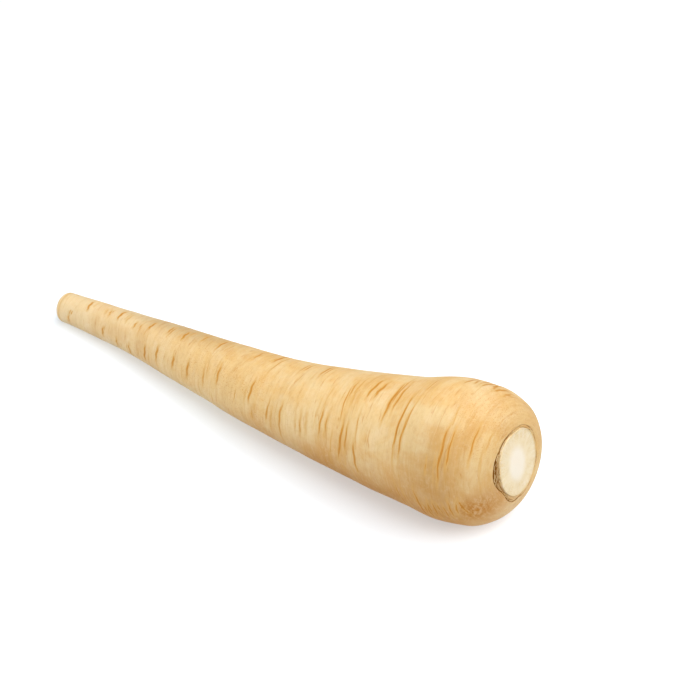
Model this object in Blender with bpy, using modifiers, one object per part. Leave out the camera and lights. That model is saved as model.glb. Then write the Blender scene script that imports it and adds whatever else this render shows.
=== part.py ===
"""A parsnip, lying on its side as a loose root rests on a table.

A parsnip grows as one swollen taproot, so it is one solid: a long taper from the trimmed tail to a
heavy crown, rows of short creases across the skin, and at the top the groove left by the leaf
stalks, round a flat cut face. The root lies along X with its crown at +X, and rests on two small
flat spots, one under the crown and one under the tail. The origin is at the middle of its
footprint, on the table.
"""

import bmesh
import bpy
import numpy as np

MM = 0.001

# Driving dimensions
ROOT_LENGTH = 235 * MM  # from the trimmed tail to the cut across the crown
SIDES = 48  # vertices round each ring of the skin

# The skin's outline: (share of the length, measured from the tail, radius in millimetres)
OUTLINE = (
    (0.012, 6.6),
    (0.035, 6.7),
    (0.09, 7.4),
    (0.18, 8.6),
    (0.30, 11.1),
    (0.42, 13.6),
    (0.55, 16.5),
    (0.66, 19.6),
    (0.76, 23.1),
    (0.84, 26.4),
    (0.90, 28.8),
    (0.945, 28.1),
    (0.972, 25.1),
    (0.990, 20.5),
    (0.997, 16.9),
)
TAIL_ROUNDING = 2.6 * MM  # how far the tail's blunt end stands out past its rim
TAIL_RINGS = 3

# The crown: a flat cut face, then the groove of the old leaf stalks, then the rim of the skin
FACE_RADIUS = 13.4 * MM
FACE_BEVEL = 0.4 * MM
GROOVE_INNER, GROOVE_OUTER = 14.2 * MM, 15.0 * MM
GROOVE_DEPTH = 1.9 * MM  # on its open side
RIM_RADIUS = 16.0 * MM
RIM_DROP = 0.35 * MM  # the rim lies this far below the cut face
OPEN_SIDE = np.radians(105)  # the groove is widest and deepest at this angle
OPEN_SPREAD = 1.5 * MM  # how much wider it is there
NARROW_DEPTH = 0.35  # share of the depth that is left on the other side

# The top of the crown is grown askew, with its cut face, and its section there is a little oval
CROWN_TILT = np.radians(8)
TILT_TOWARDS = np.radians(75)
TILT_STARTS, TILT_FULL = 0.65, 0.97  # shares of the length
CROWN_OVAL = 0.04
OVAL_ACROSS = np.radians(54)

# How the root bends along its length: sideways (one value for each half wave), and down
SIDEWAYS_BEND = (-6.6 * MM, 2.6 * MM, 0.4 * MM)
SAG = 1.3 * MM
TAIL_REST, CROWN_REST = 0.03, 0.885  # shares of the length where the tail and the crown rest
FLAT_DEPTH = 0.7 * MM  # how deep the table cuts into the round skin at both

# Short creases across the skin, where side roots would grow: in rows, and in four ranks up the root
FIRST_ROW, ROW_SPACING = 11 * MM, 9.5 * MM
ROWS = 24
RANKS = np.radians((62, -8, -100, 152))
TAIL_TURN, CROWN_TURN = np.radians(28), np.radians(55)  # how far the ranks twist at both ends
CREASE_SEED = 11
CREASE_SHARE = 0.85  # share of the places that hold a crease
CREASE_HALF_WIDTH = 1.3 * MM
CREASE_DEPTH = 0.7 * MM
CREASE_STRAY = 1.8 * MM  # how far a crease may lie from its row


def smooth_outline(share):
    """Radius of the skin at these shares of the length.

    A cubic through the points of OUTLINE, whose slope at each point is the harmonic mean of the
    slopes on both sides, or level at a peak, so that it never overshoots.
    """
    at, radius = np.array(OUTLINE).T
    step = np.diff(at)
    rise = np.diff(radius) / step
    slope = np.concatenate([rise[:1], np.zeros(len(at) - 2), rise[-1:]])
    same_way = rise[:-1] * rise[1:] > 0
    both = np.where(same_way, rise[:-1] + rise[1:], 1)
    slope[1:-1] = np.where(same_way, 2 * rise[:-1] * rise[1:] / both, 0)
    share = np.clip(share, at[0], at[-1])
    k = np.clip(np.searchsorted(at, share, side="right") - 1, 0, len(step) - 1)
    t = (share - at[k]) / step[k]
    start = (1 + 2 * t) * (1 - t) ** 2 * radius[k] + t * (1 - t) ** 2 * step[k] * slope[k]
    end = t**2 * (3 - 2 * t) * radius[k + 1] - t**2 * (1 - t) * step[k] * slope[k + 1]
    return (start + end) * MM


def bell(x):
    """1 at 0, falling smoothly to 0 at -1 and 1."""
    return np.where(np.abs(x) < 1, (1 - x * x) ** 2, 0.0)


def smooth_step(x, start, end):
    """0 up to start, 1 from end on, and an S-curve between."""
    t = np.clip((x - start) / (end - start), 0, 1)
    return t * t * (3 - 2 * t)


def wrapped(angle):
    """The same angle between half a turn back and half a turn on."""
    return (angle + np.pi) % (2 * np.pi) - np.pi


def crease_marks():
    """Every crease as (share of the length, angle, half its arc, depth, how far it strays)."""
    draws = np.random.default_rng(CREASE_SEED).uniform(size=(ROWS, len(RANKS), 5))
    marks = []
    for row, of_row in enumerate(draws):
        share = (FIRST_ROW + row * ROW_SPACING) / ROOT_LENGTH
        twist = TAIL_TURN * (1 - smooth_step(share, 0.2, 0.4)) + CROWN_TURN * smooth_step(share, 0.62, 0.95)
        for rank, (present, turn, reach, deep, away) in zip(RANKS, of_row):
            if present > CREASE_SHARE:
                continue
            half_length = (1.6 + 9 * share**2) * (0.75 + 0.6 * reach) * MM
            angle = rank + twist + np.radians(24) * (turn - 0.5)
            half_arc = half_length / smooth_outline(share)
            stray_by = 2 * CREASE_STRAY * (away - 0.5) * (row < ROWS - 1)
            marks.append((share, angle, half_arc, CREASE_DEPTH * (0.5 + 0.7 * deep), stray_by))
    return marks


def crease_relief(share, angle):
    """How deep the creases reach below the skin: each is a bell across its width and along its arc."""
    relief = np.zeros_like(share)
    for row, middle, half_arc, depth, _ in crease_marks():
        across = bell((share - row) * ROOT_LENGTH / CREASE_HALF_WIDTH)
        along = bell(wrapped(angle - middle) / (1.3 * half_arc))
        relief = np.maximum(relief, depth * across * along)
    return relief


def unevenness(share, angle):
    """Factor on the radius: a slightly oval and three-lobed section that turns along the root."""
    oval = 0.014 * np.cos(2 * angle + 1.0 + 5.0 * share)
    lobes = 0.008 * np.cos(3 * angle - 2.0 + 8.0 * share)
    swells = 0.005 * np.sin(2 * np.pi * 4.5 * share + 0.8 * np.cos(angle))
    crown_oval = CROWN_OVAL * bell((share - 0.97) / 0.3) * np.cos(2 * (angle - OVAL_ACROSS))
    return 1 + oval + lobes + swells + crown_oval


def stray(share, angle, radius):
    """How far a point of a ring strays along the root, in metres.

    The rings of each row but the last bend towards its creases, and those at the top of the crown
    are tilted.
    """
    bent = np.zeros_like(share)
    for row, middle, _, _, stray_by in crease_marks():
        near = bell((share - row) * ROOT_LENGTH / ROW_SPACING)
        bent += stray_by * near * bell(wrapped(angle - middle) / np.radians(70))
    tilt = np.tan(CROWN_TILT) * smooth_step(share, TILT_STARTS, TILT_FULL)
    return bent - tilt * radius * np.cos(angle - TILT_TOWARDS)


def centre_line(share):
    """Points of the root's middle line: it climbs from the tail to the crown, and bends a little."""
    low, high = smooth_outline(np.array([TAIL_REST, CROWN_REST]))
    climb = (share - TAIL_REST) / (CROWN_REST - TAIL_REST)
    sideways = sum(
        bend * np.sin((k + 1) * np.pi * share) for k, bend in enumerate(SIDEWAYS_BEND)
    )
    height = low + (high - low) * climb - SAG * np.sin(np.pi * np.clip(climb, 0, 1))
    return np.stack([(share - 0.5) * ROOT_LENGTH, sideways, height], axis=-1)


def laid_down(length, angle, radius):
    """World points of a ring vertex: out from the centre line, square to it. Angle 0 is upwards."""
    share = length / ROOT_LENGTH
    step = 1e-4
    inside = np.clip(share, 0, 1)
    centre = centre_line(inside)
    along = centre_line(inside + step) - centre_line(inside - step)
    along /= np.linalg.norm(along, axis=-1, keepdims=True)
    side = np.cross(along, [0, 0, 1])
    side /= np.linalg.norm(side, axis=-1, keepdims=True)
    up = np.cross(side, along)
    out = np.cos(angle)[:, None] * up + np.sin(angle)[:, None] * side
    past_end = (share - inside)[:, None] * ROOT_LENGTH * along
    return centre + past_end + radius[:, None] * out


def half_outline():
    """The turned profile as (radius, height) points, from the middle of the cut face to the tail's."""
    crown = [
        (0, ROOT_LENGTH),
        (FACE_RADIUS, ROOT_LENGTH),
        (FACE_RADIUS + FACE_BEVEL, ROOT_LENGTH - FACE_BEVEL),
        (GROOVE_INNER, ROOT_LENGTH - GROOVE_DEPTH),
        (GROOVE_OUTER, ROOT_LENGTH - GROOVE_DEPTH),
        (RIM_RADIUS, ROOT_LENGTH - RIM_DROP),
    ]
    shoulder = np.array([0.997, 0.994, 0.990])
    rows = (FIRST_ROW + ROW_SPACING * np.arange(ROWS)) / ROOT_LENGTH
    lip = CREASE_HALF_WIDTH / ROOT_LENGTH
    creases = np.concatenate([rows - lip, rows, rows + lip])
    between = rows[:-1] + 0.5 * ROW_SPACING / ROOT_LENGTH
    first = OUTLINE[0][0]
    rings = np.concatenate([shoulder, creases, between, [0.024, first]])
    skin = [(float(smooth_outline(s)), s * ROOT_LENGTH) for s in np.sort(rings)[::-1]]
    rim_radius, rim_height = skin[-1]
    turns = np.linspace(0, np.pi / 2, TAIL_RINGS + 2)[1:]
    tail = [
        (rim_radius * np.cos(turn), rim_height - TAIL_ROUNDING * np.sin(turn)) for turn in turns
    ]
    tail[-1] = (0, rim_height - TAIL_ROUNDING)
    return crown + skin + tail


def turned_root():
    """The root as a smooth turned shape standing on its tail, made by a Screw modifier."""
    points = [(radius, 0, height) for radius, height in half_outline()]
    mesh = bpy.data.meshes.new("root_outline")
    mesh.from_pydata(points, [(k, k + 1) for k in range(len(points) - 1)], [])
    outline = bpy.data.objects.new("root_outline", mesh)
    bpy.context.scene.collection.objects.link(outline)
    screw = outline.modifiers.new("turn", "SCREW")
    screw.axis = "Z"
    screw.steps = screw.render_steps = SIDES
    screw.use_merge_vertices = True
    screw.merge_threshold = 1e-6
    evaluated = outline.evaluated_get(bpy.context.evaluated_depsgraph_get())
    turned = bpy.data.meshes.new_from_object(evaluated)
    bpy.data.objects.remove(outline)
    return turned


def grown(mesh):
    """Turns the smooth shape into the real one: uneven, creased, bent, and lying on the table."""
    points = np.empty(len(mesh.vertices) * 3)
    mesh.vertices.foreach_get("co", points)
    x, y, length = points.reshape(-1, 3).T
    radius, angle = np.hypot(x, y), np.arctan2(y, x)
    share = length / ROOT_LENGTH

    at_top = share > 0.98
    opened = 0.5 + 0.5 * np.cos(angle - OPEN_SIDE)
    in_groove = at_top & (radius > FACE_RADIUS + 1.5 * FACE_BEVEL) & (radius < RIM_RADIUS - FACE_BEVEL)
    length += in_groove * GROOVE_DEPTH * (1 - NARROW_DEPTH) * (1 - opened)
    spread = smooth_step(radius, FACE_RADIUS, GROOVE_OUTER) * (1 - smooth_step(radius, RIM_RADIUS, 22 * MM))
    radius = radius + at_top * OPEN_SPREAD * opened * spread

    strayed = length + stray(share, angle, radius)
    on_skin = np.where(share > 0.985, 0, 1)
    radius = radius * unevenness(share, angle) - on_skin * crease_relief(share, angle)
    laid = laid_down(strayed, angle, np.maximum(radius, 0))

    # Let it down until the tail and the crown both reach FLAT_DEPTH into the table.
    x, z = laid[:, 0], laid[:, 2]
    tail_end, crown_end = x < -0.3 * ROOT_LENGTH, x > 0.2 * ROOT_LENGTH
    tail_low, crown_low = z[tail_end].min(), z[crown_end].min()
    tail_x, crown_x = x[tail_end][z[tail_end].argmin()], x[crown_end][z[crown_end].argmin()]
    drop = np.interp(x, [tail_x, crown_x], [tail_low, crown_low])
    laid[:, 2] = z - drop - FLAT_DEPTH

    mesh.vertices.foreach_set("co", laid.ravel())
    mesh.update()


def cut_flat(mesh):
    """Cuts the mesh at the table, Z 0, closes the two flat spots, and centres it on the origin."""
    shape = bmesh.new()
    shape.from_mesh(mesh)
    everything = shape.verts[:] + shape.edges[:] + shape.faces[:]
    bmesh.ops.bisect_plane(
        shape, geom=everything, dist=1e-6, plane_co=(0, 0, 0), plane_no=(0, 0, -1), clear_outer=True
    )
    open_edges = [edge for edge in shape.edges if edge.is_boundary]
    bmesh.ops.holes_fill(shape, edges=open_edges)
    bmesh.ops.recalc_face_normals(shape, faces=shape.faces)
    places = np.array([vertex.co for vertex in shape.verts])
    middle = (places.min(axis=0) + places.max(axis=0)) / 2
    bmesh.ops.translate(shape, verts=shape.verts, vec=(-middle[0], -middle[1], 0))
    shape.to_mesh(mesh)
    shape.free()


def root_skin():
    """Washed parsnip skin: pale straw, dull with a faint sheen."""
    skin = bpy.data.materials.new("washed_skin")
    skin.use_nodes = True
    shader = skin.node_tree.nodes["Principled BSDF"]
    shader.inputs["Base Color"].default_value = (0.80, 0.58, 0.30, 1)
    shader.inputs["Roughness"].default_value = 0.55
    shader.inputs["Metallic"].default_value = 0
    return skin


for leftover in list(bpy.data.objects):
    bpy.data.objects.remove(leftover)

parsnip_collection = bpy.data.collections.new("parsnip")
bpy.context.scene.collection.children.link(parsnip_collection)

root_mesh = turned_root()
grown(root_mesh)
cut_flat(root_mesh)
root_mesh.name = "parsnip"
root_mesh.materials.append(root_skin())
root_mesh.shade_smooth()
root_mesh.set_sharp_from_angle(angle=np.radians(50))

parsnip = bpy.data.objects.new("parsnip", root_mesh)
parsnip_collection.objects.link(parsnip)
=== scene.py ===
"""A parsnip lying on its side: one washed root with its top and its tail cut off.

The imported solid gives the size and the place. What is seen is finer: the skin with its creases, the
cut face of the crown, and the dry scraps of the leaf stalks round that face.
"""

import bpy
import numpy as np
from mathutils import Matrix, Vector


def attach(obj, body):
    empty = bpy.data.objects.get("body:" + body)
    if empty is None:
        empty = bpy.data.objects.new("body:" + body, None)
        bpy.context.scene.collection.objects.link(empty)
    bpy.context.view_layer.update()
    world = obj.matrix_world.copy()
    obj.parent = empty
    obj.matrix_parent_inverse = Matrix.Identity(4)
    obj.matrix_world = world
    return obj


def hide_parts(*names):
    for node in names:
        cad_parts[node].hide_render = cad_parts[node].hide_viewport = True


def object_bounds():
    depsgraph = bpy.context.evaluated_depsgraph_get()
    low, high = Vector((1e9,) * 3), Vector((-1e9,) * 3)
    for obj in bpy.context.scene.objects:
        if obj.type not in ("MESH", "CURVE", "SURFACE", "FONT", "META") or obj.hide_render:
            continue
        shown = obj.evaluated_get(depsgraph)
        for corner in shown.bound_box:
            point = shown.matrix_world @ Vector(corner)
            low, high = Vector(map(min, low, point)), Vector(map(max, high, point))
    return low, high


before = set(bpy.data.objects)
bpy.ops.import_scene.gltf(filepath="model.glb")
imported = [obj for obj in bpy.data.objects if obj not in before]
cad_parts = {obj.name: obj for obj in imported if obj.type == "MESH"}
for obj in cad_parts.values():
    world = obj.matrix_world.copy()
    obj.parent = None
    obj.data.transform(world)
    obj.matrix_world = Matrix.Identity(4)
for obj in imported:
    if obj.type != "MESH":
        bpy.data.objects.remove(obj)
solid_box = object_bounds()

# ---------------------------------------------------------------------------------------------------
# The skin. A parsnip is one swollen taproot in a thin pale skin. Short creases run across it where
# fine side roots grew, in rows and in four ranks. The trimmed tail has healed over as a blunt end,
# and at the crown the skin rolls in to the scar of the leaf stalks.

MM = 0.001
ROOT_LENGTH = 235 * MM
SIDES = 124  # vertices round each ring of the skin

# The outline: (share of the length, measured from the tail, radius in millimetres)
OUTLINE = (
    (0.012, 6.6),
    (0.035, 6.7),
    (0.09, 7.4),
    (0.18, 8.6),
    (0.30, 11.1),
    (0.42, 13.6),
    (0.55, 16.5),
    (0.66, 19.6),
    (0.76, 23.1),
    (0.84, 26.4),
    (0.90, 28.8),
    (0.945, 28.1),
    (0.972, 25.1),
    (0.990, 20.5),
    (0.997, 16.9),
)
TAIL_ROUNDING = 2.6 * MM
TAIL_RINGS = 12
TAIL_RING = 8.6 * MM  # the line round the healed tail, measured along the skin from its middle
TAIL_RING_HALF_WIDTH = 0.9 * MM
FLAT_DEPTH = 0.7 * MM  # how deep the table cuts into the round skin under the tail and the crown

# The bends: the top of the crown is askew, and the root curves sideways and sags
CROWN_TILT, TILT_TOWARDS = np.radians(8), np.radians(75)
TILT_STARTS, TILT_FULL = 0.65, 0.97
CROWN_OVAL, OVAL_ACROSS = 0.04, np.radians(54)
SIDEWAYS_BEND = (-6.6 * MM, 2.6 * MM, 0.4 * MM)
SAG = 1.3 * MM
TAIL_REST, CROWN_REST = 0.03, 0.885

# The creases: where they lie, as in the solid
FIRST_ROW, ROW_SPACING, ROWS = 11 * MM, 9.5 * MM, 24
RANKS = np.radians((62, -8, -100, 152))
TAIL_TURN, CROWN_TURN = np.radians(28), np.radians(55)
CREASE_SEED, CREASE_SHARE, CREASE_STRAY = 11, 0.85, 1.8 * MM

# Each crease is a stroke, and high on the root a pair of strokes
STROKE_SEED = 4
STROKE_HALF_WIDTH = 0.32 * MM
STROKE_DEPTH = 0.08 * MM
STROKE_REACH = 1.0 * MM  # how far its orange spreads into the skin
PARTNER_GAP = 2.9 * MM
PARTNER_FROM, PARTNER_ALWAYS = 0.45, 0.88  # shares of the length
FAINT_STROKES = 2  # beside each crease
FAINT_SPREAD = 2.2 * MM
FAINT_WIDTH = 0.6  # against the usual width
LOOSE_STROKES = 70  # strewn over the whole root
WRINKLE_SIDES = np.radians((106, -25, -150))  # where fine wrinkles gather round the crown
WRINKLES = 9  # on each of these sides
WRINKLES_FROM, WRINKLES_TO = 0.895, 0.968  # shares of the length
WRINKLE_WIDTH = 1.2

# The scar: a dead collar round the cut face, parted from the face and from the skin by two cracks
FACE_RADIUS, FACE_BEVEL = 13.4 * MM, 0.4 * MM
SCAR_FLOOR = 2.6 * MM  # how far below the cut face the skin closes under it
RIM_RADIUS, RIM_DROP = 16.0 * MM, 0.35 * MM
COLLAR_SIDE, NOTCH_SIDE = np.radians(78), np.radians(156)  # where the collar is widest, and its notch
TORN_SIDE = np.radians(70)  # where its crack is widest
COLLAR_DEPTH = 0.3 * MM
CRACK_DEPTH, CRACK_HALF_WIDTH = 1.5 * MM, 0.42 * MM
TORN_HALF_WIDTH = 1.7 * MM  # what the crack gains on its torn side
TEARS = (0.3, 0.52, 0.76)  # where broken tears run round in the collar: shares of its width
TEAR_DEPTH, TEAR_HALF_WIDTH = 0.35 * MM, 0.3 * MM

# The cut face's edge: an oval (mean radius, stretch upwards and shift, in millimetres), with corners
# and flats: (side and spread in degrees, how far it stands out in millimetres)
FACE_OVAL, FACE_OVAL_STRETCH, FACE_OVAL_SHIFT = 12.4, 1.1, 0.9
FACE_CORNERS = (
    (-44, 34, 0.6),
    (40, 30, 0.45),
    (0, 24, -0.35),
    (-128, 50, -0.4),
)

TUBE = 6 * MM  # radius of the tube on which fibres and flakes of the cut end are laid out

# How finely the skin is drawn
SKIN_RINGS = 740  # from the rim of the scar to the rim of the tail
SCAR_RINGS = 42


def outline_radius(share):
    """Radius of the skin: a cubic through OUTLINE whose slopes are harmonic means, level at a peak."""
    at, radius = np.array(OUTLINE).T
    step = np.diff(at)
    rise = np.diff(radius) / step
    slope = np.concatenate([rise[:1], np.zeros(len(at) - 2), rise[-1:]])
    same_way = rise[:-1] * rise[1:] > 0
    both = np.where(same_way, rise[:-1] + rise[1:], 1)
    slope[1:-1] = np.where(same_way, 2 * rise[:-1] * rise[1:] / both, 0)
    share = np.clip(share, at[0], at[-1])
    k = np.clip(np.searchsorted(at, share, side="right") - 1, 0, len(step) - 1)
    t = (share - at[k]) / step[k]
    start = (1 + 2 * t) * (1 - t) ** 2 * radius[k] + t * (1 - t) ** 2 * step[k] * slope[k]
    end = t**2 * (3 - 2 * t) * radius[k + 1] - t**2 * (1 - t) * step[k] * slope[k + 1]
    return (start + end) * MM


def bell(x):
    """1 at 0, falling smoothly to 0 at -1 and 1."""
    return np.where(np.abs(x) < 1, (1 - x * x) ** 2, 0.0)


def smooth_step(x, start, end):
    """0 up to start, 1 from end on, and an S-curve between."""
    t = np.clip((x - start) / (end - start), 0, 1)
    return t * t * (3 - 2 * t)


def wrapped(angle):
    """The same angle between half a turn back and half a turn on."""
    return (angle + np.pi) % (2 * np.pi) - np.pi


def beside(angle, side, spread):
    """1 at a side of the root, falling smoothly to 0 at the spread on both sides of it."""
    return bell(wrapped(angle - side) / spread)


def crease_marks():
    """Every crease as (length, angle, half its arc, depth from 0.5 to 1.2, how far it strays)."""
    draws = np.random.default_rng(CREASE_SEED).uniform(size=(ROWS, len(RANKS), 5))
    marks = []
    for row, of_row in enumerate(draws):
        length = FIRST_ROW + row * ROW_SPACING
        share = length / ROOT_LENGTH
        twist = TAIL_TURN * (1 - smooth_step(share, 0.2, 0.4)) + CROWN_TURN * smooth_step(share, 0.62, 0.95)
        for rank, (present, turn, reach, deep, away) in zip(RANKS, of_row):
            if present > CREASE_SHARE:
                continue
            half_length = (1.6 + 9 * share**2) * (0.75 + 0.6 * reach) * MM
            angle = rank + twist + np.radians(24) * (turn - 0.5)
            half_arc = half_length / outline_radius(share)
            stray_by = 2 * CREASE_STRAY * (away - 0.5) * (row < ROWS - 1)
            marks.append((length, angle, half_arc, 0.5 + 0.7 * deep, stray_by))
    return marks


def strokes():
    """The thin lines that make up the creases, as rows of six numbers.

    They are length, angle, half the arc, width against the usual, strength from 0 to 1, and slant
    (how far the line moves along the root for each metre that it runs round it).
    """
    rng = np.random.default_rng(STROKE_SEED)
    lines = []
    for length, angle, half_arc, deep, _ in crease_marks():
        share = length / ROOT_LENGTH
        radius = outline_radius(share)
        slant = rng.normal(0, 0.08)
        width = (1.5 - 0.25 * share) * rng.uniform(0.8, 1.2)
        strength = 0.62 + 0.32 * deep
        lines.append((length, angle, (1.5 - 0.5 * share) * half_arc, width, strength, slant))
        if rng.uniform() < smooth_step(share, PARTNER_FROM, PARTNER_ALWAYS):
            partner = length + PARTNER_GAP * rng.uniform(0.85, 1.15)
            turn = angle + rng.normal(0, 0.2) * half_arc
            reach = half_arc * rng.uniform(0.7, 1.0)
            lines.append((partner, turn, reach, width, strength - 0.06, slant))
        for _ in range(FAINT_STROKES):
            beyond = length + rng.normal(0, FAINT_SPREAD)
            turn = angle + rng.normal(0, 1.1) * half_arc
            reach = (1 + 8 * share) * MM * rng.uniform(0.4, 1.3) / radius
            lines.append((beyond, turn, reach, FAINT_WIDTH * width, rng.uniform(0.55, 0.88), slant))
    for share, turn, reach, strength, slant in rng.uniform(size=(LOOSE_STROKES, 5)):
        share = 0.05 + 0.92 * share
        angle = 2 * np.pi * turn
        half_arc = (1 + 6 * share) * (0.4 + reach) * MM / outline_radius(share)
        strength = 0.55 + 0.33 * strength
        lines.append((share * ROOT_LENGTH, angle, half_arc, FAINT_WIDTH, strength, 0.3 * slant - 0.15))
    for side in WRINKLE_SIDES:
        for share in np.linspace(WRINKLES_FROM, WRINKLES_TO, WRINKLES):
            turn, reach, strength, slant = rng.uniform(size=4)
            half_arc = (4 + 3.5 * reach) * MM / outline_radius(share)
            angle = side + np.radians(16) * (turn - 0.5)
            strength = 0.85 + 0.15 * strength
            lines.append((share * ROOT_LENGTH, angle, half_arc, WRINKLE_WIDTH, strength, 0.4 * slant - 0.1))
    return np.array(lines)


def ring_lengths(rings):
    """Lengths of the rings from the tail's rim to the crown's rim: they crowd together at the creases."""
    first, last = OUTLINE[0][0] * ROOT_LENGTH, OUTLINE[-1][0] * ROOT_LENGTH
    fine = np.linspace(first, last, 8000)
    crowd = np.full(fine.shape, 1.0)
    for row in range(ROWS):
        at = FIRST_ROW + row * ROW_SPACING
        paired = smooth_step(at / ROOT_LENGTH, 0.5, 0.9)
        crowd += 0.9 * bell((fine - at) / (2.2 * MM))
        crowd += 0.6 * paired * bell((fine - at - PARTNER_GAP) / (1.6 * MM))
    crowd += 2.5 * smooth_step(fine / ROOT_LENGTH, 0.965, 0.997)
    total = np.concatenate([[0], np.cumsum((crowd[1:] + crowd[:-1]) / 2)])
    return np.interp(np.linspace(0, total[-1], rings), total, fine)


def stroke_masks(length, angle):
    """Relief in metres, and nearness to a stroke from 0 to 1, on a grid of rings by sides.

    Across, measured on the sloping skin, the relief is a bell with a low lip on both sides, and the
    nearness a wider bell; along its arc a stroke is a hump, so it narrows to nothing at its ends.
    """
    relief, near = np.zeros(length.shape), np.zeros(length.shape)
    on_ring = length[:, 0]
    for at, middle, half_arc, width, strength, slant in strokes():
        half_width, reach = width * STROKE_HALF_WIDTH, width * STROKE_REACH
        rows = slice(*np.searchsorted(on_ring, [at - 3 * MM, at + 3 * MM]))
        turn = wrapped(angle[rows] - middle)
        here, beyond = outline_radius(np.array([at, at + 0.5 * MM]) / ROOT_LENGTH)
        steepness = np.hypot(1, (beyond - here) / (0.5 * MM))
        wave = 0.35 * half_width * np.sin(7 * turn / half_arc + 40 * middle)
        away = (length[rows] - at) * steepness - slant * turn * here - wave
        along = bell(turn / (1.3 * half_arc)) ** 0.25
        lips = sum(bell((away + 2 * way * half_width) / (1.6 * half_width)) for way in (-1, 1))
        relief[rows] += STROKE_DEPTH * strength * along * (bell(away / (1.25 * half_width)) - 0.3 * lips)
        near[rows] = np.maximum(near[rows], strength * along * bell(away / reach))
    return relief, near


def unevenness(share, angle):
    """Factor on the radius: a slightly oval and three-lobed section that turns along the root."""
    oval = 0.014 * np.cos(2 * angle + 1.0 + 5.0 * share)
    lobes = 0.008 * np.cos(3 * angle - 2.0 + 8.0 * share)
    swells = 0.005 * np.sin(2 * np.pi * 4.5 * share + 0.8 * np.cos(angle))
    crown_oval = CROWN_OVAL * bell((share - 0.97) / 0.3) * np.cos(2 * (angle - OVAL_ACROSS))
    return 1 + oval + lobes + swells + crown_oval


def stray(share, angle, radius):
    """How far a point of a ring strays along the root: towards its row's creases, and the crown's tilt."""
    bent = np.zeros_like(share)
    for length, middle, _, _, stray_by in crease_marks():
        near = bell((share * ROOT_LENGTH - length) / ROW_SPACING)
        bent += stray_by * near * beside(angle, middle, np.radians(70))
    tilt = np.tan(CROWN_TILT) * smooth_step(share, TILT_STARTS, TILT_FULL)
    return bent - tilt * radius * np.cos(angle - TILT_TOWARDS)


def centre_line(share):
    """Points of the root's middle line: it climbs from the tail to the crown, and bends a little."""
    low, high = outline_radius(np.array([TAIL_REST, CROWN_REST]))
    climb = (share - TAIL_REST) / (CROWN_REST - TAIL_REST)
    sideways = sum(bend * np.sin((k + 1) * np.pi * share) for k, bend in enumerate(SIDEWAYS_BEND))
    height = low + (high - low) * climb - SAG * np.sin(np.pi * np.clip(climb, 0, 1))
    return np.stack([(share - 0.5) * ROOT_LENGTH, sideways, height], axis=-1)


def laid_down(length, angle, radius):
    """Points of the bent root: out from the centre line, square to it, where angle 0 is upwards."""
    share = length / ROOT_LENGTH
    step = 1e-4
    inside = np.clip(share, 0, 1)
    along = centre_line(inside + step) - centre_line(inside - step)
    along /= np.linalg.norm(along, axis=-1, keepdims=True)
    side = np.cross(along, [0, 0, 1])
    side /= np.linalg.norm(side, axis=-1, keepdims=True)
    up = np.cross(side, along)
    out = np.cos(angle)[..., None] * up + np.sin(angle)[..., None] * side
    past_end = (share - inside)[..., None] * ROOT_LENGTH * along
    return centre_line(inside) + past_end + radius[..., None] * out


def placed(length, angle, radius):
    """Points of the root as it grew: strayed along, and uneven in radius, before it is let down."""
    share = length / ROOT_LENGTH
    strayed = length + stray(share, angle, radius)
    return laid_down(strayed, angle, np.maximum(radius * unevenness(share, angle), 0))


def closed_grid(name, points):
    """A mesh object of closed forms from points[form, ring, side]; end rings are poles, one vertex each."""
    forms, rings, sides = points.shape[:3]
    ring = 1 + np.arange(rings - 2)[:, None] * sides
    here = np.arange(sides)[None]
    after = (here + 1) % sides
    quads = np.stack([ring[:-1] + here, ring[1:] + here, ring[1:] + after, ring[:-1] + after], axis=-1)
    last = 1 + (rings - 2) * sides
    fans = [(0, 1 + k, 1 + (k + 1) % sides) for k in range(sides)]
    fans += [(last, last - sides + (k + 1) % sides, last - sides + k) for k in range(sides)]
    starts = np.arange(forms)[:, None, None] * (last + 1)
    faces = (starts + quads.reshape(1, -1, 4)).reshape(-1, 4).tolist()
    faces += (starts + np.array(fans)[None]).reshape(-1, 3).tolist()
    mesh = bpy.data.meshes.new(name)
    mesh.from_pydata(at_vertices(points).tolist(), [], faces)
    mesh.shade_smooth()
    piece = bpy.data.objects.new(name, mesh)
    bpy.context.scene.collection.objects.link(piece)
    return piece


def at_vertices(values):
    """The values of closed forms in the order of their vertices: a pole, all between, and a pole."""
    forms, rings, sides = values.shape[:3]
    rest = values.shape[3:]
    between_poles = values[:, 1:-1].reshape(forms, (rings - 2) * sides, *rest)
    whole = np.concatenate([values[:, 0, :1], between_poles, values[:, -1, :1]], axis=1)
    return whole.reshape(-1, *rest)


def give_values(piece, name, values):
    """Keeps one number, or one vector, at each vertex of the piece, for its material to read."""
    vector = values.ndim == 4
    kept = piece.data.attributes.new(name, "FLOAT_VECTOR" if vector else "FLOAT", "POINT")
    kept.data.foreach_set("vector" if vector else "value", at_vertices(values).astype(np.float32).ravel())


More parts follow.
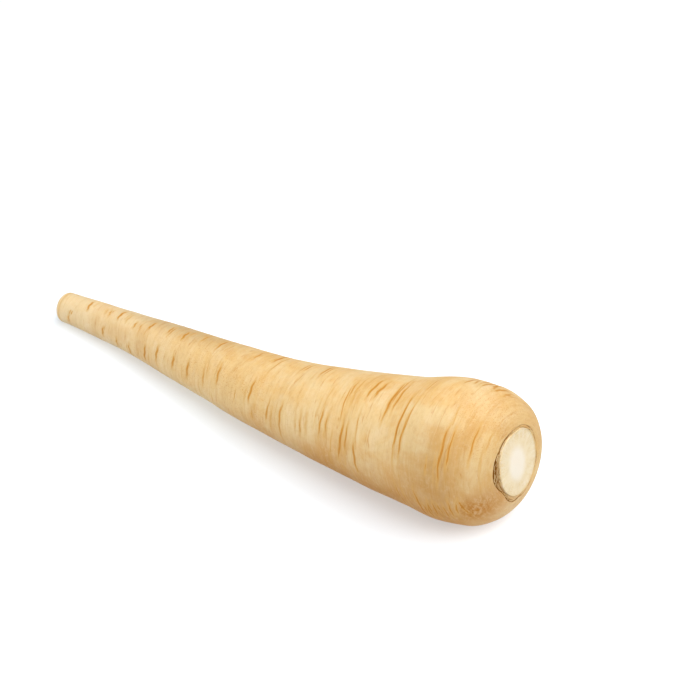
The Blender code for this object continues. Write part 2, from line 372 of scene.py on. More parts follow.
def skin_grid():
    """Rings of (length, radius) from the pole under the cut face, out over the scar, to the tail's pole."""
    under_face = [(ROOT_LENGTH - SCAR_FLOOR, 0), (ROOT_LENGTH - SCAR_FLOOR, 0.75 * FACE_RADIUS)]
    radii = np.linspace(0.78 * FACE_RADIUS, outline_radius(OUTLINE[-1][0]), SCAR_RINGS)
    rim = ROOT_LENGTH - RIM_DROP
    last = OUTLINE[-1][0] * ROOT_LENGTH
    scar = [(rim + (last - rim) * smooth_step(r, 0.96 * RIM_RADIUS, radii[-1]), r) for r in radii]
    body = [(x, outline_radius(x / ROOT_LENGTH)) for x in ring_lengths(SKIN_RINGS)[::-1][1:]]
    rim_length, rim_radius = body[-1]
    turns = np.linspace(0, np.pi / 2, TAIL_RINGS)[1:]
    tail = [(rim_length - TAIL_ROUNDING * np.sin(t), rim_radius * np.cos(t)) for t in turns]
    tail[-1] = (tail[-1][0], 0)
    return np.array(under_face + scar + body + tail), len(under_face) + len(scar)


def ragged(angle, seed, waves=(3, 5, 8, 13, 21)):
    """A closed wavy line round the crown, between about -1 and 1: sines of falling height."""
    phases = np.random.default_rng(seed).uniform(0, 2 * np.pi, len(waves))
    return sum(np.sin(n * angle + p) / n**0.5 for n, p in zip(waves, phases)) / 1.4


def face_edge(angle):
    """Radius of the cut face's edge: an upright oval, plus its corners and flats, cut a little ragged."""
    edge = FACE_OVAL + FACE_OVAL_STRETCH * np.cos(2 * angle) - FACE_OVAL_SHIFT * np.sin(angle)
    for side, spread, height in FACE_CORNERS:
        edge = edge + height * beside(angle, np.radians(side), np.radians(spread))
    return (edge + 0.13 * ragged(angle, 21)) * MM


def collar_edge(angle):
    """Radius of the crack between the dead collar and the skin: wide on one side, notched below."""
    open_side = 2.9 * beside(angle, COLLAR_SIDE, np.radians(50))
    notch = 1.2 * beside(angle, NOTCH_SIDE, np.radians(24))
    return face_edge(angle) + (1.5 + open_side + notch + 0.16 * ragged(angle, 5)) * MM


def scar_relief(radius, angle):
    """Depth of the scar in metres, its darkness, and how much of a point is collar, both from 0 to 1.

    The collar is a trough that opens on one side, between a thin crack by the face and a wider one
    by the skin. Thin broken tears run round in it.
    """
    inner, outer = face_edge(angle) + 0.25 * MM, collar_edge(angle)
    within = smooth_step(radius, inner - 0.3 * MM, inner)
    collar = within * (1 - smooth_step(radius, outer, outer + 0.7 * MM))
    opened = beside(angle, COLLAR_SIDE, np.radians(120))
    torn = beside(angle, TORN_SIDE, np.radians(48))
    notched = beside(angle, NOTCH_SIDE, np.radians(60))
    inner_crack = bell((radius - inner) / CRACK_HALF_WIDTH)
    torn_in = radius - outer + 1.3 * MM * torn
    outer_crack = bell(torn_in / (CRACK_HALF_WIDTH + TORN_HALF_WIDTH * torn))
    cracks = 0.35 * inner_crack + (0.15 + 0.85 * torn) * outer_crack
    depth = COLLAR_DEPTH * opened * collar + CRACK_DEPTH * cracks
    inner_dark = inner_crack * (0.6 + 0.1 * opened)
    outer_dark = outer_crack**0.6 * (0.42 + 0.16 * opened + 0.2 * notched + 0.5 * torn)
    dark = np.maximum(inner_dark, outer_dark)
    for k, across in enumerate(TEARS):
        middle = inner + (outer - inner) * (across + 0.11 * ragged(angle, 30 + k))
        unbroken = smooth_step(ragged(angle, 40 + k), -0.6, 0.2)
        tear = bell((radius - middle) / TEAR_HALF_WIDTH) * unbroken * opened**0.5
        depth = depth + TEAR_DEPTH * tear
        dark = np.maximum(dark, 0.8 * tear)
    return depth, np.clip(dark, 0, 1), collar * (0.25 + 0.75 * opened)


profile, scar_rings = skin_grid()
skin_angle = np.linspace(0, 2 * np.pi, SIDES, endpoint=False)[None]
skin_length = profile[:, :1] + 0 * skin_angle
skin_radius = profile[:, 1:] + 0 * skin_angle
skin_angle = skin_angle + 0 * skin_length

near_scar = (skin_length > 0.97 * ROOT_LENGTH) & (skin_radius > 0.77 * FACE_RADIUS)
scar_depth, scar_dark, scar_cork = (near_scar * value for value in scar_relief(skin_radius, skin_angle))
deepened = skin_length - scar_depth

order = slice(None, scar_rings - 1, -1)
crease_depth, near_crease = np.zeros(skin_length.shape), np.zeros(skin_length.shape)
crease_depth[order], near_crease[order] = stroke_masks(skin_length[order], skin_angle[order])
profile_steps = np.hypot(*np.diff(profile, axis=0).T)
skin_run = np.cumsum(np.concatenate([profile_steps, [0]])[::-1])[::-1, None] + 0 * skin_angle
tail_ring = bell((skin_run - TAIL_RING) / TAIL_RING_HALF_WIDTH) * (0.72 + 0.1 * ragged(skin_angle, 8))
near_crease = np.maximum(near_crease, tail_ring)

skin_points = placed(deepened, skin_angle, np.maximum(skin_radius - crease_depth, 0))
x, z = skin_points[..., 0], skin_points[..., 2]
tail_end, crown_end = x < -0.3 * ROOT_LENGTH, x > 0.2 * ROOT_LENGTH
lowest_x = [x[end][z[end].argmin()] for end in (tail_end, crown_end)]
lowest_z = [z[end].min() for end in (tail_end, crown_end)]


def let_down(points):
    """Lowers points of the root until the tail and the crown lie FLAT_DEPTH into the table at Z 0."""
    drop = np.interp(points[..., 0], lowest_x, lowest_z) + FLAT_DEPTH
    return points - drop[..., None] * np.array([0, 0, 1])


skin_points = let_down(skin_points)
skin_points[..., 2] = np.maximum(skin_points[..., 2], 0)
cut_angle = np.linspace(0, 2 * np.pi, 90)[None]
cut_edge = let_down(placed(ROOT_LENGTH + 0 * cut_angle, cut_angle, face_edge(cut_angle)))
skin_low = skin_points.min(axis=(0, 1))
skin_high = np.maximum(skin_points.max(axis=(0, 1)), cut_edge.max(axis=(0, 1)))
box_low, box_high = (np.array(corner) for corner in solid_box)
fit_scale = (box_high - box_low) / (skin_high - skin_low)


def fitted(points):
    """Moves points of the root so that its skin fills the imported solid's box exactly."""
    return box_low + (points - skin_low) * fit_scale


skin = closed_grid("root_skin", fitted(skin_points)[None])
unbent = np.stack([skin_run, skin_radius * np.cos(skin_angle), skin_radius * np.sin(skin_angle)], axis=-1)
give_values(skin, "unbent", unbent[None] / MM)
give_values(skin, "crease", near_crease[None])
give_values(skin, "scar", scar_dark[None])
give_values(skin, "cork", scar_cork[None])


def round_the_face(angle, radius):
    """Place on a tube that stands for the cut end: turns run round it, and the radius runs along it."""
    return np.stack([TUBE * np.cos(angle), TUBE * np.sin(angle), radius], axis=-1)[None] / MM


give_values(skin, "around", round_the_face(skin_angle, skin_radius))

skin_share, turned = skin_length / ROOT_LENGTH, np.degrees(wrapped(skin_angle))


def zone(side, spread, share, reach):
    """1 on a side of the skin, in degrees, and at a share of its length.

    It falls smoothly to 0 at the spread round the root and at the reach along it.
    """
    return bell((turned - side) / spread) * bell((skin_share - share) / reach)


# The skin is earthy on its shoulder. Painted shade makes it darker and earthier on its underside, less so
# on the crown, and not below the cut face
underside = smooth_step(np.abs(turned), 55, 125) * smooth_step(skin_share, 0.3, 0.8)
shoulder = smooth_step(skin_share, 0.90, 0.975)
crown_part = smooth_step(skin_share, 0.92, 0.98)
by_face = smooth_step(skin_share, 0.955, 0.985)
below_face = by_face * beside(skin_angle, np.radians(-140), np.radians(115))
earth_and_shade = underside * (1 - 0.4 * crown_part) * (1 - below_face)
# Painted shade also darkens the crown's near flank, the zone at 55 degrees
earth_and_shade = earth_and_shade + 0.15 * shoulder + 0.18 * zone(55, 60, 0.905, 0.11)
give_values(skin, "earth_and_shade", np.clip(earth_and_shade, 0, 1)[None])

# It is golden on its shoulder. Painted shade makes it a darker gold on its far side and along its near
# flank
far_side = 0.35 * smooth_step(-turned, 5, 60) + 0.5 * shoulder * (1 - bell((turned - 95) / 70))
near_flank = 0.5 * zone(65, 105, 0.42, 0.34)
give_values(skin, "gold_and_shade", np.clip(far_side + near_flank, 0, 1)[None])

# It is pale on the tail and in a scuffed patch under the face. Painted light makes it paler low along its
# near side, on the crown's top as a painted highlight, and below the cut face
pale = 0.55 * (1 - smooth_step(skin_share, 0.1, 0.45)) + 0.2 * zone(112, 45, 0.45, 0.3)
# A scuffed patch under the face, and a painted highlight on the crown's top
pale += 0.5 * zone(106, 22, 0.985, 0.02) + 0.3 * zone(5, 30, 0.955, 0.06)
# Painted light below the cut face, as if thrown up from the table
pale += 0.5 * by_face * beside(skin_angle, np.radians(162), np.radians(75))
give_values(skin, "pale", pale[None])

# It has a scab low on the crown. Painted shade makes it greyer and darker on top of the taper and on the
# crown's near flank
give_values(skin, "scab", (zone(114, 20, 0.98, 0.022) ** 0.5)[None])
give_values(skin, "dry", (0.75 * zone(-12, 45, 0.31, 0.22) + 0.6 * zone(66, 56, 0.93, 0.09))[None])


NODES_IN_ROW = 12


def shader_node(tree, kind, settings=None, values=None):
    """Adds a node, in rows; settings are its options, values fill or link its inputs by name or number."""
    row, column = divmod(len(tree.nodes), NODES_IN_ROW)
    node = tree.nodes.new("ShaderNode" + kind)
    node.location = (220 * column, -320 * row)
    for name, value in (settings or {}).items():
        setattr(node, name, value)
    for name, value in (values or {}).items():
        if isinstance(value, bpy.types.NodeSocket):
            tree.links.new(value, node.inputs[name])
        else:
            node.inputs[name].default_value = value
    return node


def new_material(name):
    """An empty node material with its Principled BSDF: (material, tree, shader)."""
    material = bpy.data.materials.new(name)
    material.use_nodes = True
    tree = material.node_tree
    return material, tree, tree.nodes["Principled BSDF"]


def kept_value(tree, name):
    """Output socket that reads a number kept at the vertices."""
    return shader_node(tree, "Attribute", {"attribute_name": name}).outputs["Fac"]


def kept_vector(tree, name):
    """Output socket that reads a vector kept at the vertices."""
    return shader_node(tree, "Attribute", {"attribute_name": name}).outputs["Vector"]


def stretched(tree, vector, scale):
    """The same vector with each axis multiplied."""
    return shader_node(tree, "VectorMath", {"operation": "MULTIPLY"}, {0: vector, 1: scale}).outputs[0]


def noise(tree, vector, scale, detail, roughness, distortion=0.0):
    """Noise from 0 to 1 on a vector."""
    values = {"Vector": vector, "Scale": scale, "Detail": detail, "Roughness": roughness}
    values["Distortion"] = distortion
    return shader_node(tree, "TexNoise", None, values).outputs["Fac"]


def between(tree, value, low, high, to=(0.0, 1.0)):
    """Maps low..high of a value smoothly onto to[0]..to[1], and holds it there beyond."""
    values = {"Value": value, "From Min": low, "From Max": high, "To Min": to[0], "To Max": to[1]}
    return shader_node(tree, "MapRange", {"interpolation_type": "SMOOTHSTEP"}, values).outputs["Result"]


def worked_out(tree, operation, a, b, clamped=False):
    """Result of a Math node, held between 0 and 1 where it is clamped."""
    settings = {"operation": operation, "use_clamp": clamped}
    return shader_node(tree, "Math", settings, {0: a, 1: b}).outputs[0]


def times(tree, a, b):
    """Product of two values."""
    return worked_out(tree, "MULTIPLY", a, b)


def blended(tree, factor, a, b, mode="MIX"):
    """Colour a turned into b, or combined with it, by a factor."""
    node = shader_node(tree, "Mix", {"data_type": "RGBA", "blend_type": mode})
    for socket, value in ((node.inputs[0], factor), (node.inputs[6], a), (node.inputs[7], b)):
        if isinstance(value, bpy.types.NodeSocket):
            tree.links.new(value, socket)
        else:
            socket.default_value = value
    return node.outputs[2]


def layered(tree, colour, layers, mode="MIX"):
    """A colour with each layer, (factor, colour), laid over it in turn."""
    for factor, over in layers:
        colour = blended(tree, factor, colour, over, mode)
    return colour


def effect_group(name, numbers, result):
    """A node group with a Place vector and number inputs, and one number out: (group, inputs, outputs)."""
    group = bpy.data.node_groups.new(name, "ShaderNodeTree")
    group.interface.new_socket("Place", in_out="INPUT", socket_type="NodeSocketVector")
    for label, usual in numbers.items():
        socket = group.interface.new_socket(label, in_out="INPUT", socket_type="NodeSocketFloat")
        socket.default_value = usual
    group.interface.new_socket(result, in_out="OUTPUT", socket_type="NodeSocketFloat")
    given, out = group.nodes.new("NodeGroupInput"), group.nodes.new("NodeGroupOutput")
    out.location = (0, 320)
    return group, given.outputs, out.inputs


def fibre_lines_group():
    """Thin wandering lines, where a noise crosses its middle value, broken up by a wider noise."""
    group, given, out = effect_group("fibre_lines", {"Width": 0.03, "Breaks": 0.35, "Amount": 0.5}, "Line")
    field = noise(group, given["Place"], 1.0, 2.0, 0.5, 0.3)
    off = worked_out(group, "ABSOLUTE", worked_out(group, "SUBTRACT", field, 0.5), 0.0)
    line = between(group, off, given["Width"], 0.0)
    patch = noise(group, given["Place"], given["Breaks"], 2.0, 0.5)
    limit = worked_out(group, "SUBTRACT", 1.0, given["Amount"])
    shown = between(group, patch, limit, worked_out(group, "ADD", limit, 0.12))
    group.links.new(times(group, line, shown), out[0])
    return group


def speckle_group():
    """Small soft dots of uneven size: the peaks of a fine noise, gathered in patches."""
    group, given, out = effect_group("speckle", {"Size": 1.0, "Amount": 0.5}, "Dots")
    dots = noise(group, given["Place"], worked_out(group, "DIVIDE", 1.6, given["Size"]), 2.0, 0.6)
    patches = noise(group, given["Place"], 0.12, 2.0, 0.5)
    level = worked_out(group, "SUBTRACT", 0.78, given["Amount"])
    peaks = between(group, dots, level, worked_out(group, "ADD", level, 0.14))
    group.links.new(times(group, peaks, between(group, patches, 0.35, 0.6, (0.4, 1.0))), out[0])
    return group


FIBRE_LINES, SPECKLE = fibre_lines_group(), speckle_group()


def effect(tree, group, place, **numbers):
    """The result of an effect group at a place vector."""
    return shader_node(tree, "Group", {"node_tree": group}, {"Place": place, **numbers}).outputs[0]


def bumped(tree, height, strength, distance, below=None, inwards=False):
    """A normal raised, or pressed inwards, by a height, on top of the normal below."""
    values = {"Strength": strength, "Distance": distance, "Height": height}
    if below is not None:
        values["Normal"] = below
    return shader_node(tree, "Bump", {"invert": inwards}, values).outputs[0]


SKIN_CREAM = (0.59, 0.43, 0.215, 1)
SKIN_MILKY = (0.63, 0.50, 0.31, 1)
SKIN_GOLD = (0.59, 0.38, 0.148, 1)
SKIN_TAN = (0.38, 0.20, 0.06, 1)
SKIN_AMBER = (0.50, 0.29, 0.085, 1)
# painted shade below and on the crown's near flank, and the shoulder's own earthy tone
SKIN_EARTH_AND_SHADE = (0.40, 0.185, 0.04, 1)
# painted shade, greying and darkening the skin
PAINTED_SHADE_GREY = (0.70, 0.69, 0.68, 1)  # multiplies the skin's colour
CREASE_ORANGE = (0.42, 0.185, 0.03, 1)
CREASE_STAIN = (0.82, 0.60, 0.26, 1)  # multiplies the skin's colour
CORE_STAIN = (0.80, 0.60, 0.45, 1)  # multiplies it once more in the core of a crease
CRACK_BROWN = (0.18, 0.068, 0.01, 1)
CORK_TAN = (0.45, 0.28, 0.11, 1)


def washed_skin():
    """Cream skin, golden and milky in patches and in fine lines round the root, and darker and earthier
    below as painted shade.

    The creases are orange with a darker core, and the collar and its cracks are brown.
    """
    material, tree, shader = new_material("washed_skin")
    place = kept_vector(tree, "unbent")
    around = kept_vector(tree, "around")
    wide = noise(tree, stretched(tree, place, (0.05, 0.05, 0.05)), 1.0, 4.0, 0.6, 0.6)
    scuffs = noise(tree, stretched(tree, place, (0.12, 0.07, 0.07)), 1.0, 5.0, 0.6, 0.4)
    bands = noise(tree, stretched(tree, place, (0.35, 0.03, 0.03)), 1.0, 3.0, 0.55)
    grain = noise(tree, stretched(tree, place, (2.4, 0.14, 0.14)), 1.0, 3.0, 0.6)
    mottle = noise(tree, stretched(tree, place, (0.7, 0.4, 0.4)), 1.0, 4.0, 0.7)
    flakes = noise(tree, stretched(tree, around, (0.6, 0.6, 2.2)), 1.0, 4.0, 0.7)
    dots = effect(tree, SPECKLE, place, Size=0.7, Amount=0.25)
    hair_place = stretched(tree, place, (0.30, 0.03, 0.03))
    hairs = effect(tree, FIBRE_LINES, hair_place, Width=0.02, Breaks=2.6, Amount=0.5)
    pale_hair_place = stretched(tree, place, (0.5, 0.04, 0.04))
    pale_hairs = effect(tree, FIBRE_LINES, pale_hair_place, Width=0.025, Breaks=1.6, Amount=0.42)

    # The plain skin: its colour zones, which hold painted shade and painted light, then its patches, bands,
    # grain, hairs and dots
    gold_and_shade = kept_value(tree, "gold_and_shade")
    swing = between(tree, wide, 0.3, 0.7, (-0.16, 0.16))
    earthy_and_shaded = worked_out(tree, "ADD", kept_value(tree, "earth_and_shade"), swing, clamped=True)
    crown_dots = times(tree, dots, between(tree, gold_and_shade, 0.05, 0.5, (0.1, 0.5)))
    colour = layered(tree, SKIN_CREAM, (
        (between(tree, wide, 0.38, 0.62), SKIN_GOLD),
        # This value holds painted shade on the far side and the near flank, and the shoulder's own gold
        (gold_and_shade, SKIN_GOLD),
        # The pale value holds the pale tail and a scuffed patch, and painted light low on the near side, on
        # the crown's top and below the face
        (kept_value(tree, "pale"), SKIN_MILKY),
        (between(tree, scuffs, 0.5, 0.7, (0.0, 0.4)), SKIN_MILKY),
        (between(tree, bands, 0.5, 0.66, (0.0, 0.2)), SKIN_MILKY),
        (between(tree, bands, 0.5, 0.34, (0.0, 0.14)), SKIN_TAN),
        # Painted shade below and on the crown's near flank, with the shoulder's own earthy tone
        (times(tree, earthy_and_shaded, 0.95), SKIN_EARTH_AND_SHADE),
        (between(tree, grain, 0.5, 0.75, (0.0, 0.2)), SKIN_TAN),
        (between(tree, grain, 0.5, 0.25, (0.0, 0.16)), SKIN_MILKY),
        (times(tree, pale_hairs, 0.25), SKIN_MILKY),
        (times(tree, hairs, 0.45), CREASE_ORANGE),
        (between(tree, mottle, 0.5, 0.72, (0.0, 0.22)), SKIN_TAN),
        (between(tree, mottle, 0.5, 0.28, (0.0, 0.22)), SKIN_MILKY),
        (crown_dots, CREASE_ORANGE),
    ))
    # Painted shade: the dry value greys and darkens the top of the taper and the crown's near flank
    colour = blended(tree, kept_value(tree, "dry"), colour, PAINTED_SHADE_GREY, "MULTIPLY")

    # The creases, with frayed edges, and the scab stain the skin
    near = kept_value(tree, "crease")
    frayed = worked_out(tree, "ADD", near, between(tree, grain, 0.25, 0.75, (0.10, -0.14)))
    scab = times(tree, kept_value(tree, "scab"), between(tree, scuffs, 0.2, 0.4))
    colour = blended(tree, between(tree, near, 0.05, 0.8, (0.0, 0.6)), colour, SKIN_AMBER)
    colour = layered(tree, colour, (
        (between(tree, frayed, 0.62, 0.80, (0.0, 0.9)), CREASE_STAIN),
        (between(tree, frayed, 0.84, 1.0, (0.0, 0.45)), CORE_STAIN),
        (times(tree, scab, between(tree, mottle, 0.40, 0.62)), CREASE_STAIN),
    ), "MULTIPLY")

    # The collar is corky, and flaked dark in its cracks
    loss = between(tree, flakes, 0.25, 0.75, (0.22, -0.22))
    torn = worked_out(tree, "ADD", kept_value(tree, "scar"), loss)
    colour = layered(tree, colour, (
        (times(tree, kept_value(tree, "cork"), 0.8), CORK_TAN),
        (between(tree, torn, 0.3, 0.62), CRACK_BROWN),
    ))
    tree.links.new(colour, shader.inputs["Base Color"])

    tree.links.new(between(tree, torn, 0.2, 0.6, (0.09, 0.0)), shader.inputs["Specular IOR Level"])
    tree.links.new(between(tree, scuffs, 0.3, 0.7, (0.48, 0.66)), shader.inputs["Roughness"])
    shader.inputs["Subsurface Weight"].default_value = 0.12
    shader.inputs["Subsurface Radius"].default_value = (1.0, 0.5, 0.2)
    shader.inputs["Subsurface Scale"].default_value = 0.0015
    fine = bumped(tree, grain, 0.35, 0.1 * MM)
    lines = bumped(tree, hairs, 0.3, 0.2 * MM, fine, inwards=True)
    flaky = bumped(tree, scab, 0.6, 0.3 * MM, lines, inwards=True)
    tree.links.new(flaky, shader.inputs["Normal"])
    return material


skin.data.materials.append(washed_skin())
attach(skin, "root")
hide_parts("parsnip")

# ---------------------------------------------------------------------------------------------------
# The cut face. The leaf stalks were cut off flat across the crown. The cut dried to a pale matt disc
# with a white core, and stands in the scar with a narrow bevelled edge.

FACE_SINK = 3.0 * MM  # how far its edge reaches down into the scar
FACE_LOW = 0.15 * MM  # how far it lies below the flat crown end, before its core swells
FACE_FALL = 0.1 * MM  # how far it falls towards its rim, where it dried
CORE_SWELL = 0.12 * MM  # how far the white core swells out
CORE_HEIGHT, CORE_WIDTH = 8.6 * MM, 6.0 * MM  # half the core's height and width
FACE_RINGS, FACE_SIDES = 60, 180

# The ripple that the knife left: its height, how far it runs in one radian of its wave, and its slant
KNIFE_DEPTH, KNIFE_STEP, KNIFE_SLANT = 0.03 * MM, 0.55 * MM, 0.6


def face_grid():
    """Rings of (length, radius): the flat face, its bevel, its side down into the scar, its underside."""
    top_radius = np.linspace(0, 1, FACE_RINGS) ** 0.9 * FACE_RADIUS
    turns = np.linspace(0, np.pi / 2, 5)[1:]
    widest, foot = FACE_RADIUS + FACE_BEVEL, ROOT_LENGTH - FACE_SINK
    length = np.concatenate([0 * top_radius, -FACE_BEVEL * (1 - np.cos(turns))]) + ROOT_LENGTH
    radius = np.concatenate([top_radius, FACE_RADIUS + FACE_BEVEL * np.sin(turns)])
    return np.stack([np.append(length, (foot, foot)), np.append(radius, (widest, 0))], axis=-1)


face_profile = face_grid()
face_angle = np.linspace(0, 2 * np.pi, FACE_SIDES, endpoint=False)[None] + 0 * face_profile[:, :1]
outward = face_profile[:, 1:] / FACE_RADIUS + 0 * face_angle
face_radius = outward * face_edge(face_angle)
core_up = face_radius * np.cos(face_angle) / CORE_HEIGHT
core_across = face_radius * np.sin(face_angle) / CORE_WIDTH
core_mask = 1 - smooth_step(np.hypot(core_up, core_across), 0.55, 1.15)
knife = KNIFE_DEPTH * np.sin(face_radius * np.cos(face_angle - KNIFE_SLANT) / KNIFE_STEP)
face_relief = CORE_SWELL * core_mask + knife * (outward < 1) - FACE_FALL * smooth_step(outward, 0.75, 1)
on_top = (np.arange(len(face_profile)) < FACE_RINGS)[:, None]
face_length = face_profile[:, :1] + on_top * (face_relief - FACE_LOW)
face = closed_grid("cut_face", fitted(let_down(placed(face_length, face_angle, face_radius)))[None])
face_across, face_up = face_radius * np.sin(face_angle), face_radius * np.cos(face_angle)
give_values(face, "on_face", np.stack([face_up, face_across, 0 * face_radius], axis=-1)[None] / MM)
give_values(face, "around", round_the_face(face_angle, face_radius))
give_values(face, "core", core_mask[None])
give_values(face, "outward", outward[None])

FLESH_CREAM = (0.665, 0.545, 0.35, 1)
FLESH_WHITE = (0.70, 0.62, 0.50, 1)
FLESH_GOLD = (0.56, 0.39, 0.18, 1)


def cut_flesh():
    """Dry cut flesh: cream, with a white core, faint fibres outwards and golden specks by the edge."""
    material, tree, shader = new_material("cut_flesh")
    on_face = kept_vector(tree, "on_face")
    way_out = kept_value(tree, "outward")
    fibre_place = stretched(tree, kept_vector(tree, "around"), (0.9, 0.9, 0.12))
    fibres = effect(tree, FIBRE_LINES, fibre_place, Width=0.12, Breaks=0.8, Amount=0.6)
    specks = effect(tree, SPECKLE, on_face, Size=0.7, Amount=0.3)
    cloud = noise(tree, on_face, 0.25, 4.0, 0.6)
    near_edge = between(tree, way_out, 0.35, 1.0)
    colour = layered(tree, FLESH_CREAM, (
        (between(tree, cloud, 0.4, 0.65, (0.0, 0.35)), FLESH_GOLD),
        (times(tree, specks, times(tree, near_edge, 0.6)), FLESH_GOLD),
        (kept_value(tree, "core"), FLESH_WHITE),
        (times(tree, fibres, times(tree, near_edge, 0.35)), FLESH_WHITE),
        (between(tree, way_out, 0.94, 1.02, (0.0, 0.3)), FLESH_GOLD),
    ))
    tree.links.new(colour, shader.inputs["Base Color"])
    shader.inputs["Roughness"].default_value = 0.6
    shader.inputs["Specular IOR Level"].default_value = 0.35
    shader.inputs["Subsurface Weight"].default_value = 0.2
    shader.inputs["Subsurface Radius"].default_value = (1.0, 0.7, 0.4)
    shader.inputs["Subsurface Scale"].default_value = 0.002
    tree.links.new(bumped(tree, specks, 0.3, 0.2 * MM), shader.inputs["Normal"])
    return material


face.data.materials.append(cut_flesh())
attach(face, "root")

# ---------------------------------------------------------------------------------------------------
# The stalk scraps. Dry papery bits of the cut leaf stalks still stand in the scar round the cut face,
# thickest on the side where the collar is open and in the notch below.

SCRAPS = 70
SCRAP_RINGS, SCRAP_SIDES = 8, 8
SCRAP_THICKNESS = 0.05 * MM
SHORTEST_SCRAP, LONGEST_SCRAP = 1.0, 3.6  # millimetres
NARROWEST_SCRAP, WIDEST_SCRAP = 0.10, 0.28
BY_COLLAR = 0.75  # the share of them that gathers on the collar's side
FLECK_PACE = (60, 6, 40)  # how fast their flecks change round, outwards, and from scrap to scrap


def scrap_points():
    """Thin curved strips that run round in the collar: points of (scrap, ring, side).

    A strip's section is a flat ellipse that narrows to a point at both ends, and its ends curl up.
    """
    rng = np.random.default_rng(17)
    gathered = rng.normal(COLLAR_SIDE, np.radians(34), SCRAPS)
    strewn = rng.uniform(0, 2 * np.pi, SCRAPS)
    middle = np.where(rng.uniform(size=SCRAPS) < BY_COLLAR, gathered, strewn)[:, None, None]
    length = rng.uniform(SHORTEST_SCRAP, LONGEST_SCRAP, SCRAPS)[:, None, None] * MM
    width = rng.uniform(NARROWEST_SCRAP, WIDEST_SCRAP, SCRAPS)[:, None, None] * MM
    outward, drift, curl, sway = (rng.uniform(size=SCRAPS)[:, None, None] for _ in range(4))
    along = np.linspace(0, 1, SCRAP_RINGS)[None, :, None]
    round_it = np.linspace(0, 2 * np.pi, SCRAP_SIDES, endpoint=False)[None, None, :]
    full = np.sin(np.pi * along) ** 0.6
    inner, outer = face_edge(middle) + 0.35 * MM, collar_edge(middle)
    way = along - 0.5
    across = inner + (outer - inner) * outward
    across = across + 0.9 * MM * (drift - 0.5) * way + 0.3 * MM * (sway - 0.5) * way**2
    radius = across + width * full * np.cos(round_it)
    angle = middle + way * length / across + 0 * round_it
    opened = beside(middle, COLLAR_SIDE, np.radians(100))
    lift = (0.1 + 0.5 * curl * (2 * way) ** 2) * (0.3 + 0.7 * opened) * MM
    bed = ROOT_LENGTH - RIM_DROP - COLLAR_DEPTH * opened
    height = bed + lift + SCRAP_THICKNESS * full * np.sin(round_it)
    return height + 0 * radius, angle + 0 * radius, radius


scrap_height, scrap_angle, scrap_radius = scrap_points()
scraps = closed_grid("stalk_scraps", fitted(let_down(placed(scrap_height, scrap_angle, scrap_radius))))
dryness = np.random.default_rng(3).uniform(size=(SCRAPS, 1, 1)) + 0 * scrap_radius
give_values(scraps, "dryness", dryness)
give_values(scraps, "run", np.stack([scrap_angle, scrap_radius / MM, dryness], axis=-1) * FLECK_PACE)

SCRAP_PALE = (0.58, 0.41, 0.20, 1)
SCRAP_BROWN = (0.22, 0.095, 0.02, 1)


def dry_paper():
    """Dry stalk skin: each scrap somewhere between pale straw and dark brown, with brown flecks."""
    material, tree, shader = new_material("dry_paper")
    speckled = noise(tree, kept_vector(tree, "run"), 0.5, 3.0, 0.6)
    colour = layered(tree, SCRAP_PALE, (
        (between(tree, kept_value(tree, "dryness"), 0.4, 1.0), SCRAP_BROWN),
        (between(tree, speckled, 0.5, 0.7, (0.0, 0.6)), SCRAP_BROWN),
    ))
    tree.links.new(colour, shader.inputs["Base Color"])
    shader.inputs["Roughness"].default_value = 0.9
    shader.inputs["Specular IOR Level"].default_value = 0.05
    return material


scraps.data.materials.append(dry_paper())
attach(scraps, "root")

# ---------------------------------------------------------------------------------------------------
# The table, the lights and the camera. A wide pale table lies in white air. A broad light shines from
# above on the crown's side, one that casts no shadow from above on the near side, and a weaker one
# from above on the far side.

TABLE_HALF_WIDTH = 0.75
TABLE_DROP = 0.05 * MM  # the table lies this far below the root
TABLE_WHITE = (0.79, 0.835, 0.88, 1)
AIR_LIGHT = 0.39  # how strongly the white air lights the root; itself it looks plain white
bpy.ops.mesh.primitive_plane_add(size=2 * TABLE_HALF_WIDTH, location=(0, 0, -TABLE_DROP))
table = bpy.context.object
table.name = "white_table"
white, _, white_shader = new_material("white_table")
white_shader.inputs["Base Color"].default_value = TABLE_WHITE
white_shader.inputs["Roughness"].default_value = 0.9
table.data.materials.append(white)

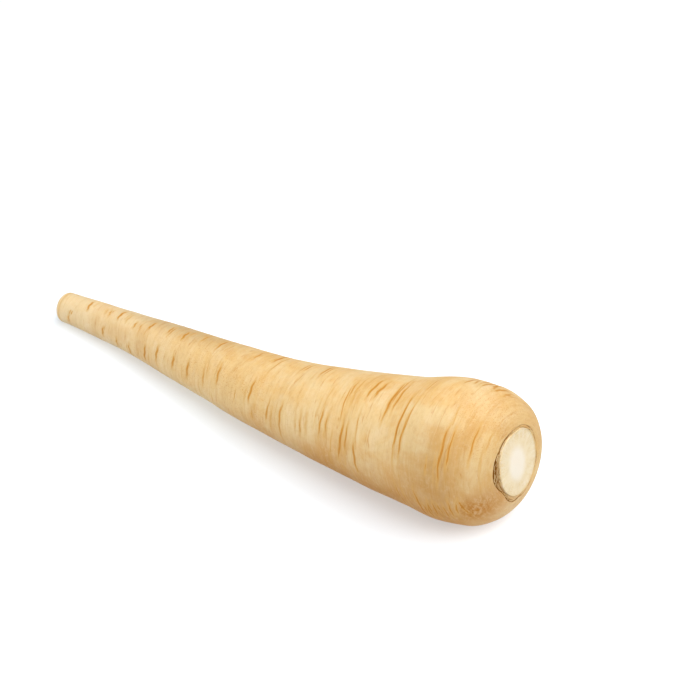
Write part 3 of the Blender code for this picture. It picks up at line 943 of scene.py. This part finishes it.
LIT_POINT = Vector((0.02, 0.0, 0.02))  # where every light is aimed


def area_light(name, power, size, place):
    """A square area light at a place, turned to face the lit point."""
    lamp = bpy.data.lights.new(name, "AREA")
    lamp.energy = power
    lamp.size = size
    light = bpy.data.objects.new(name, lamp)
    bpy.context.scene.collection.objects.link(light)
    light.location = place
    light.rotation_euler = (Vector(place) - LIT_POINT).to_track_quat("Z", "Y").to_euler()
    return light


area_light("key_light", 11.7, 1.0, (0.80, -0.12, 0.95))
area_light("fill_light", 12.2, 0.5, (-0.22, -0.78, 1.17)).data.use_shadow = False
area_light("back_light", 5.3, 0.7, (0.12, 0.48, 1.02))

world = bpy.data.worlds.new("white_air")
world.use_nodes = True
air = world.node_tree
looked_at = shader_node(air, "LightPath").outputs["Is Camera Ray"]
glow = shader_node(air, "MapRange", None, {"Value": looked_at, "To Min": AIR_LIGHT, "To Max": 1.0})
air.nodes["Background"].inputs["Color"].default_value = (1, 1, 1, 1)
air.links.new(glow.outputs["Result"], air.nodes["Background"].inputs["Strength"])
bpy.context.scene.world = world
bpy.context.scene.view_settings.view_transform = "Standard"

CAMERA_AZIMUTH, CAMERA_ELEVATION = np.radians(37.0), np.radians(35.3)
CAMERA_DISTANCE = 0.8
CAMERA_TARGET = np.array([0.0225, 0.0239, 0.03])
SENSOR_WIDTH, FOCAL_LENGTH = 36, 102.2  # millimetres
lens = bpy.data.cameras.new("viewer")
lens.sensor_width = SENSOR_WIDTH
lens.lens = FOCAL_LENGTH
viewer = bpy.data.objects.new("viewer", lens)
bpy.context.scene.collection.objects.link(viewer)
back = np.array([
    np.sin(CAMERA_AZIMUTH) * np.cos(CAMERA_ELEVATION),
    -np.cos(CAMERA_AZIMUTH) * np.cos(CAMERA_ELEVATION),
    np.sin(CAMERA_ELEVATION),
])
viewer.location = CAMERA_TARGET + CAMERA_DISTANCE * back
viewer.rotation_euler = (np.pi / 2 - CAMERA_ELEVATION, 0, CAMERA_AZIMUTH)
bpy.context.scene.camera = viewer
